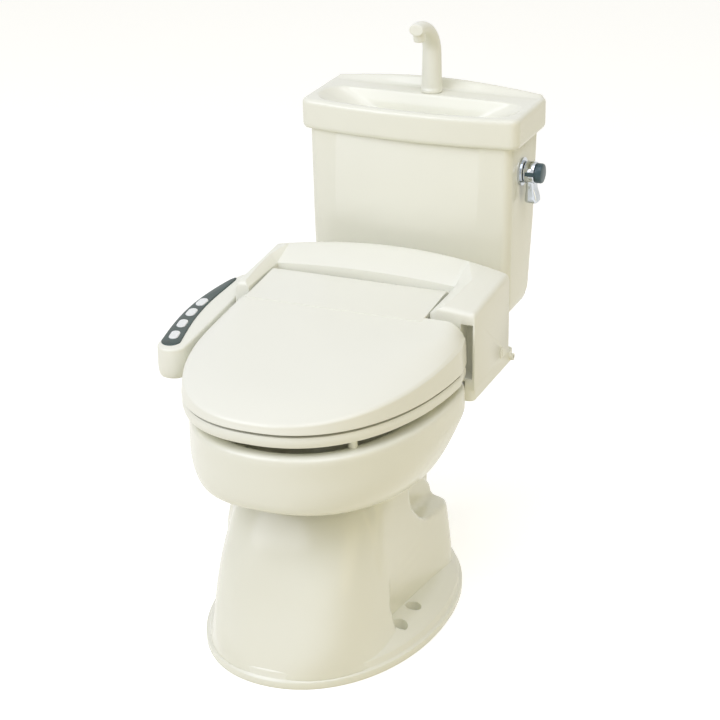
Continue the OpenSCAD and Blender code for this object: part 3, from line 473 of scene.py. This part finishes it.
def basin():
    slab = loft("slab", [
        bowed_box(BASIN_HALF - 2, 38, 193, 14, 19, 716),
        bowed_box(BASIN_HALF, 36, 195, 14, 20, 722),
        bowed_box(BASIN_HALF, 34, 195, 14, 20, BASIN_RIM - 7),
        bowed_box(BASIN_HALF - 1.5, 35.5, 193.5, 13, 20, BASIN_RIM - 2.5),
        bowed_box(BASIN_HALF - 5, 39, 190, 12, 19, BASIN_RIM)])
    carve([slab], [loft("rebate", [bowed_box(TANK_HALF + 1.5, 39.5, 190.5, 14, 16, z)
                                   for z in (704, TANK_TOP)])])
    ledge = []
    for x in np.linspace(-187, 187, 61):
        h = 8 + 13 * math.cos(math.radians(x / 2.1))
        section = ((192, 740), (193, BASIN_RIM - 9 + h), (188, BASIN_RIM - 4 + h),
                   (183, BASIN_RIM - 5 + h), (172, BASIN_RIM - 1), (169, 740))
        ledge.append(np.array([(x, y, z) for y, z in section]))
    under = loft("under", [bowed_box(110, 78, 118, 18, 4, 692), bowed_box(140, 66, 126, 22, 8, 704),
                           bowed_box(160, 60, 132, 24, 10, 724)])
    parts = [slab, loft("ledge", ledge), under]
    hollow = loft("hollow", fair([
        bowed_box(36, 79, 114, 16, 1, BASIN_FLOOR), bowed_box(64, 72, 117, 20, 4, BASIN_FLOOR + 8),
        bowed_box(102, 65, 121, 25, 8, BASIN_FLOOR + 23),
        bowed_box(140, 57, 125, 30, 12, BASIN_FLOOR + 40),
        bowed_box(166, 51, 129, 34, 15, BASIN_FLOOR + 52),
        bowed_box(177, 47.5, 131, 36, 17, BASIN_RIM - 1.5)], 4)
        + [bowed_box(181, 45, 133, 36, 17, BASIN_RIM + 1),
           bowed_box(184, 42, 135, 36, 17, BASIN_RIM + 30)])
    carve(parts, [hollow, upright(0, 96, 680, 740, 12), upright(0, SPOUT_Y, 680, 800, 9)])
    return finish_shading(soften(join("basin_glazed", parts), 2.2, 5), 60)


def spout():
    path = [(SPOUT_Y, SPOUT_Z + 22.9 * k) for k in range(4)]
    path += [(SPOUT_Y - 60 * (1 - math.cos(math.radians(15 * k))),
              837 + 56 * math.sin(math.radians(14 * k))) for k in range(1, 8)]
    t, last = around(48), len(path) - 1
    rings = []
    for k, (y, z) in enumerate(path):
        a, b = path[max(k - 1, 0)], path[min(k + 1, last)]
        d = np.array([b[0] - a[0], b[1] - a[1]]) / math.dist(a, b)
        wide, thick = 18 - 0.5 * k, 17 - 0.7 * k
        rings.append(np.stack([wide * np.cos(t), y + thick * np.sin(t) * d[1],
                               z - thick * np.sin(t) * d[0]], 1))
    neck = loft("neck", fair(rings, 3))
    lean = Vector((0, -math.sin(math.radians(SPOUT_TILT)), math.cos(math.radians(SPOUT_TILT))))
    low = Vector((0, SPOUT_Y - 58, 871))
    parts = [neck, rod(low, low + 22 * lean, 10.5),
             upright(0, SPOUT_Y, SPOUT_Z, SPOUT_Z + 6, 18.5)]
    carve(parts, [upright(0, SPOUT_Y, 758, 828, 7), rod(low - 12 * lean, low + 18 * lean, 6)])
    melted = soften(join("spout_upper", parts), 1.3, 7)
    tail = upright(0, SPOUT_Y, 702, SPOUT_Z + 2, 8.8)
    carve([tail], [upright(0, SPOUT_Y, 690, 800, 5)])
    return finish_shading(join("spout_moulded", [melted, tail]), 60)


stand_for(tank(), "toilet", "tank")
stand_for(basin(), "toilet", "basin_lid")
stand_for(spout(), "toilet", "spout")


# ---- washing seat: body
def cover_top(y):
    return 532 + 0.075 * (y + 40)


def cover_ring(x, inset, floor_z):
    """A section of the cover across its length, crowned in the middle and rounded at its ends."""
    u, edge = 1 - (x / COVER_HALF) ** 2, max(0, abs(x) - COVER_HALF + 8)
    drop = inset + 8 - math.sqrt(max(0, 64 - edge * edge))
    top, rear, front = 12 * u - drop, -38 + 30 * u - inset, COVER_FRONT + inset
    arc = [math.radians(a) for a in (0, 22, 45, 68, 90)]
    nose = [(front + 9 - 9 * math.cos(a), cover_top(COVER_FRONT) - 9 + 9 * math.sin(a) + top)
            for a in arc]
    tail = [(rear - 11 + 11 * math.sin(a), cover_top(-50) - 11 + 11 * math.cos(a) + top)
            for a in arc]
    middle = [(y, cover_top(y) + top) for y in (-160, -120, -90)]
    return np.array([(x, y, z)
                     for y, z in [(front, floor_z)] + nose + middle + tail + [(rear, floor_z)]])


def cover_block(name, inset, floor_z, count):
    s = np.linspace(-1, 1, count)
    return loft(name, [cover_ring(x, inset, floor_z)
                       for x in (COVER_HALF - inset) * np.sign(s) * (1 - (1 - np.abs(s)) ** 1.8)])


def hinge_rod(start, end, r):
    return rod((HINGE_X + start, HINGE_Y, HINGE_Z), (HINGE_X + end, HINGE_Y, HINGE_Z), r)


def nozzle_rod(start, end, r):
    """A rod on the spray nozzle's line, measured from the cover's mouth."""
    slope = math.radians(NOZZLE_SLOPE)
    down, mouth = Vector((0, -math.cos(slope), -math.sin(slope))), Vector(NOZZLE_MOUTH)
    return rod(mouth + start * down, mouth + end * down, r)


def hinge_notch(grow):
    """Tools for the lid's and seat's notch in the cover, larger by grow for the inner space."""
    r, h = 27 + grow, NOTCH_HALF + grow
    left, right = HINGE_X - h, HINGE_X + h
    tools = [rod((left, HINGE_Y, HINGE_Z), (right, HINGE_Y, HINGE_Z), r, sides=96),
             box((left, HINGE_Y - 4, HINGE_Z), (right, HINGE_Y + 31 + grow, HINGE_Z + 80)),
             box((left, -230, HINGE_Z - r), (right, HINGE_Y, HINGE_Z + 120))]
    well = [(-230, 380), (-158 + grow, 380), (-158 + grow, 447 - grow), (-130 + grow, 466 - grow),
            (-130 + grow, 500), (-230, 500)]
    tools += [loft("well", [np.array([(HINGE_X + side * x, y, z) for y, z in well])
                            for x in (96 - grow, h)]) for side in (-1, 1)]
    bows = [(x, 7 * (1 - ((x - HINGE_X) / NOTCH_HALF) ** 2) - grow) for x in range(-186, 135, 10)]
    fall = loft("fall", [
        np.array([(x, -215, 512 + lift), (x, -95, 515 + lift), (x, -15, 543 + lift),
                  (x, -15, 600), (x, -215, 600)])
        for x, lift in [(-207, 22 - grow)] + bows + [(172, 22 - grow)]])
    groove = box((186 - grow, -230, 406 - grow), (206.5 + grow, -177 + grow, 500 + grow))
    return tools + [fall, groove]


def seat_cover():
    inner = cover_block("inner", 3, TRAY_TOP - 1, 41)
    carve([inner], hinge_notch(3) + [hinge_rod(side * 159, side * 173, 11) for side in (-1, 1)])
    shell = cover_block("cover_moulded", 0, TRAY_TOP, 81)
    tools = [inner] + hinge_notch(0) + [
        box((-194, -220, 370), (194, 10, RIM_Z + 0.6)), rod((190, -72, 402), (230, -72, 402), 9),
        nozzle_rod(-15, 30, 11)]
    tools += [hinge_rod(side * 150, side * 173, 5) for side in (-1, 1)]
    carve([shell], tools)
    return finish_shading(edged(shell, 0.9), 32)


stand_for(seat_cover(), "toilet", "seat_cover")


# ---- control arm on the left
def arm_top(y):
    return 497 + math.tan(math.radians(ARM_SLOPE)) * (y - ARM_REAR)


def strip_half(t):
    return 2 + 14.5 * t ** 0.5


def strip_mid(t):
    """The bowed middle line of the dark strip, from its rear tip (0) to its round end (1)."""
    straight = np.array([STRIP_REAR[k] + t * (STRIP_FRONT[k] - STRIP_REAR[k]) for k in (0, 1)])
    return straight - (13.5 * math.sin(math.pi * t), 0)


def strip_side(t, side, grow):
    return strip_mid(t) + (side * (strip_half(t) + grow), 0)


def strip_outline(grow, steps=32):
    t = np.linspace(0, 1, steps)
    return ([strip_side(v, 1, grow) for v in t]
            + [strip_mid(1) + (strip_half(1) + grow) * np.array([math.cos(a), -math.sin(a)])
               for a in np.linspace(0, math.pi, 18)[1:-1]]
            + [strip_side(v, -1, grow) for v in t[::-1]])


def arm_outline(inset, steps=24):
    flank = [np.array([-213.5 - inset, ARM_REAR - inset - (276 - inset) * t])
             for t in np.linspace(0, 1, steps)]
    nose = [np.array([-238 + (24.5 - inset) * math.cos(a), -386 - (22 - inset) * math.sin(a)])
            for a in np.radians(np.arange(8, 172, 8))]
    outside = [strip_side(v, -1, 2.5 - inset) for v in np.linspace(1, 0, 32)]
    return flank + nose + outside + [np.array([-240 + inset, -116 - inset])]


def at_height(plan, height):
    return np.array([(p[0], p[1], height(p[1])) for p in plan])


def control_arm():
    rings = [at_height(arm_outline(inset), lambda y, z=z: z)
             for inset, z in ((7, 418), (4, 419.5), (2, 423), (0.6, 429), (0, 436))]
    rings += [at_height(arm_outline(3.2 * (1 - math.cos(a))),
                        lambda y, a=a: arm_top(y) - 3.2 * (1 - math.sin(a)))
              for a in np.radians((0, 25, 50, 70, 90))]
    arm = loft("arm_moulded", rings)
    carve([arm], [loft("well", [at_height(strip_outline(-1), lambda y, lift=lift: arm_top(y) + lift)
                                for lift in (-24, 20)])])
    web = box((-228, -205, 424), (-210.5, -125, 474))
    return finish_shading(join("arm_moulded", [arm, web]), 32)


def pill(k, r, height):
    """Outline of button k, long in the strip's direction, at a height over the arm."""
    p = strip_mid(BUTTON_T[k])
    slope, turn = math.radians(ARM_SLOPE), math.atan(-0.176 * math.cos(math.pi * BUTTON_T[k]))
    across = Vector((math.cos(turn), math.sin(turn), 0))
    along = Vector((-math.cos(slope) * math.sin(turn), math.cos(slope) * math.cos(turn),
                    math.sin(slope)))
    centre = Vector((p[0], p[1], arm_top(p[1]))) + height * across.cross(along)
    half_straight = 6
    return np.array([tuple(centre + r * math.cos(a) * across
                           + (r * math.sin(a) + math.copysign(half_straight, math.sin(a))) * along)
                     for a in 2 * math.pi * (np.arange(48) + 0.5) / 48])


def control_panel():
    panel = loft("panel_gloss", [
        at_height(strip_outline(grow), lambda y, lift=lift: arm_top(y) + lift)
        for grow, lift in ((0.1, -0.5), (0, 0.8), (-0.5, 1.4), (-1.3, 1.6))])
    carve([panel], [loft("hole", [pill(k, 8.2, -10), pill(k, 8.2, 10)]) for k in range(4)])
    return finish_shading(panel, 40)


stand_for(control_arm(), "toilet", "control_arm")
stand_for(control_panel(), "toilet", "control_panel")
for k, key in enumerate(["dry", "front_wash", "rear_wash", "stop"]):
    cap = loft(key + "_cap", [pill(k, r, height) for height, r in (
        (-6, 7.6), (0.6, 7.8), (1.9, 7.7), (2.6, 7.3), (2.95, 6.5), (2.85, 4.5), (2.7, 0.3))])
    stand_for(finish_shading(cap, 50), key + "_key", key + "_button")


# ---- seat ring and lid
def seat_outline(inset):
    """The shared outline of seat and lid, with its right rear corner drawn in."""
    half, nose, n = RIM_HALF + 3 - inset, RIM_FRONT + WIDEST_Y - inset, 2.3
    t = np.linspace(np.pi, 2 * np.pi, 110)
    front = np.stack([half * power(np.cos(t), 2 / n), WIDEST_Y + nose * power(np.sin(t), 2 / n)], 1)
    rise = np.linspace(0, 1, 8)[1:, None]
    right = np.array([half, WIDEST_Y]) + rise * np.array([-SEAT_TRIM, SEAT_REAR - WIDEST_Y])
    left = np.array([-half, WIDEST_Y]) + rise[::-1] * np.array([1, SEAT_REAR - WIDEST_Y])
    back = np.linspace(half - SEAT_TRIM, 1 - half, 40)[1:-1]
    return np.concatenate([front, right, np.stack([back, np.full(38, SEAT_REAR)], 1), left])


def leaning(ring):
    ring = np.array(ring, float)
    ring[:, 0] -= SEAT_LEAN * np.maximum(0, WIDEST_Y - ring[:, 1]) / (RIM_FRONT + WIDEST_Y)
    return ring


def lid_edge(y):
    return 452 + 34 * np.maximum(0, (y + RIM_FRONT) / LID_RUN) ** 0.8


def lid_crown(y):
    return 462 + 46 * np.maximum(0, (y + RIM_FRONT) / LID_RUN) ** 0.9


def lid_plan(inset, under):
    """The lid's outline at an inset; the rear edge moves only by the wall, under."""
    p = seat_outline(inset + under)
    p[:, 1] = np.where(p[:, 1] >= SEAT_REAR - 0.01, SEAT_REAR - under, p[:, 1])
    return p


def lid_swell(y, inset):
    """How far the top stands over the lid's edge at an inset."""
    reach = 95 - 62 * smoothstep(0.5, 0.95, (y + RIM_FRONT) / LID_RUN)
    return (lid_crown(y) - lid_edge(y)) * (1 - (1 - np.clip((inset - 5) / reach, 0, 1)) ** 2.4)


def lid_skin(inset, under=0.0):
    """One ring of the lid's top or, with under, of its inner face."""
    p = lid_plan(inset, under)
    return leaning(np.column_stack([p, lid_edge(p[:, 1]) + lid_swell(p[:, 1], inset) - under]))


def lid_wall(inset, share, under=0.0):
    """One ring of the lid's side wall, from its lip (share 0) to its shoulder (share 1)."""
    p = lid_plan(inset, under)
    return leaning(np.column_stack([p, LID_LIP + share * (lid_edge(p[:, 1]) - 5 - LID_LIP)]))


def lid_bend(angle, under=0.0):
    """One ring of the rounded shoulder between wall and top."""
    a = math.radians(angle)
    inset = 3 + 6 * (1 - math.cos(a))
    p = lid_plan(inset, under)
    top = lid_swell(p[:, 1], inset)
    return leaning(np.column_stack([p, lid_edge(p[:, 1]) - 5 + (5 + top) * math.sin(a) - under]))


def barrel(side, reach, r):
    """Points of a hinge arm's round end."""
    return [(HINGE_X + side * x, HINGE_Y + r * math.cos(a), HINGE_Z + r * math.sin(a))
            for x in reach for a in around(48)]


def seat_lid():
    wall_share = [(3 - 2.6 * (1 - s), s) for s in (0.75, 0.5, 0.25, 0.08)]
    inner_share = [(3 - 2.6 * (1 - s), s) for s in (0.05, 0.5, 0.9)]
    thick = 3.5
    shell = loft("lid_moulded", [lid_skin(d) for d in np.linspace(205, 9, 34)]
                 + [lid_bend(a) for a in (78, 64, 48, 32, 16, 0)]
                 + [lid_wall(*row) for row in wall_share] + [lid_wall(0.6, 0), lid_wall(2.9, 0)]
                 + [lid_wall(*row, thick) for row in inner_share]
                 + [lid_bend(a, thick) for a in (20, 50)]
                 + [lid_skin(d, thick) for d in np.linspace(9, 201.5, 20)])
    carve([shell], [box((HINGE_X + side * 97, SEAT_REAR - 8, 425),
                        (HINGE_X + side * 139, SEAT_REAR + 12, 450)) for side in (-1, 1)])
    # the tongue rises to the hinge and rolls over it
    inner_r = 20.5
    rise = [(SEAT_REAR - 14, 506.4), (SEAT_REAR + 2, 508.0), (-170, 511.9), (-140, 514.8)]
    roll = [(HINGE_Y + BARREL_R * math.sin(a), HINGE_Z + BARREL_R * math.cos(a))
            for a in np.radians(np.arange(0, 75, 8))]
    back = [(HINGE_Y + inner_r * math.sin(a), HINGE_Z + inner_r * math.cos(a))
            for a in np.radians(np.arange(72, -1, -8))]
    profile = rise + roll + back + [(SEAT_REAR - 14, 503.0)]
    ends = ((-155, 0.985), (-154, 1), (154, 1), (155, 0.985))
    tongue = loft("tongue", [
        np.array([(HINGE_X + x, HINGE_Y + (y - HINGE_Y) * k, HINGE_Z + (z - HINGE_Z) * k)
                  for y, z in profile]) for x, k in ends])
    arms = [hull("arm", barrel(side, LID_ARM, BARREL_R - 0.5)
                 + [(HINGE_X + side * x, SEAT_REAR + 1, z) for x in LID_ARM for z in (464, 502)])
            for side in (-1, 1)]
    carve(arms, [hinge_rod(-180, 180, PIN_HOLE_R)])
    pads = [upright(x, y, 441, 452 + 30 * max(0, (y + RIM_FRONT) / LID_RUN), 8)
            for x, y in ((-136, -440), (124, -440), (-182, -300), (178, -300))]
    return finish_shading(join("lid_moulded", [shell, tongue] + arms + pads), 32)


def seat_ring():
    centre = np.array([0, -375])
    flat = seat_outline(10) - centre
    angle = np.arctan2(flat[:, 1], flat[:, 0])

    def hole(grow, z):
        a, n = 115 + grow, 2.2
        b = np.where(np.sin(angle) < 0, 141 + grow, 139 + grow)
        r = (np.abs(np.cos(angle) / a) ** n + np.abs(np.sin(angle) / b) ** n) ** (-1 / n)
        return leaning(np.column_stack([centre[0] + r * np.cos(angle),
                                        centre[1] + r * np.sin(angle), np.full(len(r), z)]))

    def rim(inset, z):
        p = seat_outline(inset)
        return leaning(np.column_stack([p, np.full(len(p), z)]))

    edge, lip = rim(10, 436), hole(9, 434.2)
    crown = [edge + (lip - edge) * s + (0, 0, 0.6 * math.sin(math.pi * s))
             for s in (0.2, 0.4, 0.6, 0.8)]
    rings = [rim(8, RING_UNDER), rim(3, RING_UNDER + 2), rim(1.5, 423), rim(1.5, 430),
             rim(4, 434.5), edge] + crown
    rings += [lip, hole(4, 432), hole(1, 428), hole(0, 423), hole(1.5, RING_UNDER + 0.5)]
    ring = loft("ring_moulded", rings, closed=True)
    carve([ring], [nozzle_rod(-10, 80, 10)])
    arms = [hull("arm", barrel(side, RING_ARM, 18)
                 + [(HINGE_X + side * x, SEAT_REAR - y, z)
                    for x in RING_ARM for y in (2, 6) for z in (418, 435.5)]) for side in (-1, 1)]
    carve(arms, [hinge_rod(-180, 180, PIN_HOLE_R)])
    return finish_shading(join("ring_moulded", [ring] + arms), 40)


stand_for(seat_lid(), "lid", "seat_lid")
stand_for(seat_ring(), "seat", "seat_ring")


# ---- flush lever
def flush_lever():
    hub = turned("hub", [(189, 16), (189.5, 18), (191, 19), (206, 19), (207.4, 18.4), (208, 17)],
                 (0, LEVER_Y, LEVER_Z), (1, 0, 0))
    # waisted handle that hangs in front of the hub and thickens towards its end
    t, squareness = around(48), 0.45
    rings = [np.stack([(x0 + x1) / 2 + (x1 - x0) / 2 * power(np.cos(t), squareness),
                       LEVER_Y + half * power(np.sin(t), squareness), np.full(48, LEVER_Z + z)], 1)
             for z, half, x0, x1 in ((-4, 12, 193, 206), (-16, 13, 192, 207), (-27, 12, 191.5, 208),
                                     (-38, 12, 190.5, 211.5), (-48, 12.3, 190, 213.5),
                                     (-51, 10.8, 191.5, 212))]
    carve([hub], [box((192.5, LEVER_Y - 25, LEVER_Z - 2), (210, LEVER_Y - 13, LEVER_Z + 5))])
    return finish_shading(join("lever_chromed", [hub, loft("handle", fair(rings, 4))]), 40)


def hub_cap():
    """The hub's cap and the small bar that shows in the hub's slot."""
    cap = turned("cap", [(208.1, 15), (208.8, 17), (217, 17), (219.2, 15.8), (220, 13.5),
                         (220, 0.3)], (0, LEVER_Y, LEVER_Z), (1, 0, 0))
    bar = box((193, LEVER_Y - 18, LEVER_Z - 1.6), (209, LEVER_Y - 13.2, LEVER_Z + 4.6))
    return finish_shading(join("lever_hub_cap", [cap, bar]), 40)


stand_for(flush_lever(), "lever", "flush_lever")
stand_for(hub_cap(), "lever", "lever_cap")


# ---- camera, floor and light
AZIMUTH, ELEVATION, ROLL = math.radians(22.7), math.radians(22.9), math.radians(-0.6)
DISTANCE, TARGET = 3.6, Vector((0.0087, -0.2, 0.4083))
FOCAL_PX, IMAGE_PX, SENSOR_MM = 2196.4, 720, 36
back = Vector((math.sin(AZIMUTH) * math.cos(ELEVATION), -math.cos(AZIMUTH) * math.cos(ELEVATION),
               math.sin(ELEVATION)))
right = Vector((math.cos(AZIMUTH), math.sin(AZIMUTH), 0))
up = back.cross(right)
right, up = (math.cos(ROLL) * right + math.sin(ROLL) * up,
             math.cos(ROLL) * up - math.sin(ROLL) * right)
lens = bpy.data.cameras.new("camera")
lens.sensor_fit, lens.sensor_width = "HORIZONTAL", SENSOR_MM
lens.lens = SENSOR_MM * FOCAL_PX / IMAGE_PX
camera = bpy.data.objects.new("camera", lens)
turn = Matrix((right, up, back)).transposed().to_4x4()
camera.matrix_world = Matrix.Translation(TARGET + DISTANCE * back) @ turn
bpy.context.scene.collection.objects.link(camera)
bpy.context.scene.camera = camera

LAMPS_AIM = Vector((0, -0.1, 0.4))
COOL_LIGHT, WARM_LIGHT, SKY_LIGHT = (0.97, 1.0, 1.19), (1.0, 0.80, 0.36), (1.0, 0.97, 0.84, 1)
SKY_STRENGTH, FLOOR_GLOW = 0.44, 0.5
FLOOR_BOUNCE, FLOOR_SEEN = (0.80, 0.76, 0.62, 1), (0.86, 0.86, 0.85, 1)
FLOOR_Z = -0.0005


def lamp(name, place, size, power_w, colour):
    """A round soft lamp that faces the object."""
    light = bpy.data.lights.new(name, "AREA")
    light.shape, light.size, light.energy, light.color = "DISK", size, power_w, colour
    holder = bpy.data.objects.new(name, light)
    facing = (LAMPS_AIM - Vector(place)).to_track_quat("-Z", "Y").to_matrix().to_4x4()
    holder.matrix_world = Matrix.Translation(place) @ facing
    bpy.context.scene.collection.objects.link(holder)


lamp("key", (-1.8, -2.8, 3.0), 3.2, 73, COOL_LIGHT)
lamp("top", (1.0, -1.0, 3.4), 2.6, 30, COOL_LIGHT)
lamp("fill", (3.2, -1.2, 1.2), 2.4, 12, WARM_LIGHT)


def seen_directly(tree):
    """A socket that is 1 for what the camera sees, also in a mirror or through glass."""
    path = tree.nodes.new("ShaderNodeLightPath")
    socket = path.outputs["Is Camera Ray"]
    for other in ("Is Glossy Ray", "Is Transmission Ray"):
        most = tree.nodes.new("ShaderNodeMath")
        most.operation = "MAXIMUM"
        tree.links.new(socket, most.inputs[0])
        tree.links.new(path.outputs[other], most.inputs[1])
        socket = most.outputs[0]
    return socket


world = bpy.data.worlds.new("studio")
world.use_nodes = True
bpy.context.scene.world = world
tree = world.node_tree
sky = tree.nodes["Background"]
white = tree.nodes.new("ShaderNodeBackground")
white.inputs["Strength"].default_value = 1.0
white.inputs["Color"].default_value = (1, 1, 1, 1)
sky.inputs["Color"].default_value = SKY_LIGHT
sky.inputs["Strength"].default_value = SKY_STRENGTH
both = tree.nodes.new("ShaderNodeMixShader")
tree.links.new(seen_directly(tree), both.inputs["Fac"])
tree.links.new(sky.outputs[0], both.inputs[1])
tree.links.new(white.outputs[0], both.inputs[2])
tree.links.new(both.outputs[0], tree.nodes["World Output"].inputs["Surface"])


def floor():
    """A pale floor that glows a little where it is seen, and bounces a warmer light."""
    t = around(96)
    n = len(t)
    rings = [np.stack([r * np.cos(t), r * np.sin(t) - 200, np.full(n, 0.0)], 1)
             for r in (100, 900, 4000, 30000)]
    faces = [(k * n + i, k * n + (i + 1) % n, (k + 1) * n + (i + 1) % n, (k + 1) * n + i)
             for k in range(len(rings) - 1) for i in range(n)] + [tuple(range(n))]
    ground = solid("floor", np.concatenate(rings), faces)
    mat = bpy.data.materials.new("pale_floor")
    mat.use_nodes = True
    nodes = mat.node_tree
    shader = nodes.nodes["Principled BSDF"]
    # sockets 6 and 7 are the two colours of the mix node, and output 2 is its colour result
    tint = nodes.nodes.new("ShaderNodeMix")
    tint.data_type = "RGBA"
    tint.inputs[6].default_value = FLOOR_BOUNCE
    tint.inputs[7].default_value = FLOOR_SEEN
    seen = seen_directly(nodes)
    nodes.links.new(seen, tint.inputs[0])
    nodes.links.new(tint.outputs[2], shader.inputs["Base Color"])
    shader.inputs["Roughness"].default_value = 0.8
    shader.inputs["Emission Color"].default_value = (1, 1, 1, 1)
    glow = nodes.nodes.new("ShaderNodeMath")
    glow.operation = "MULTIPLY"
    glow.inputs[1].default_value = FLOOR_GLOW
    nodes.links.new(seen, glow.inputs[0])
    nodes.links.new(glow.outputs[0], shader.inputs["Emission Strength"])
    ground.data.materials.append(mat)
    ground.location.z = FLOOR_Z
    return ground


floor()
bpy.context.scene.view_settings.view_transform = "Standard"
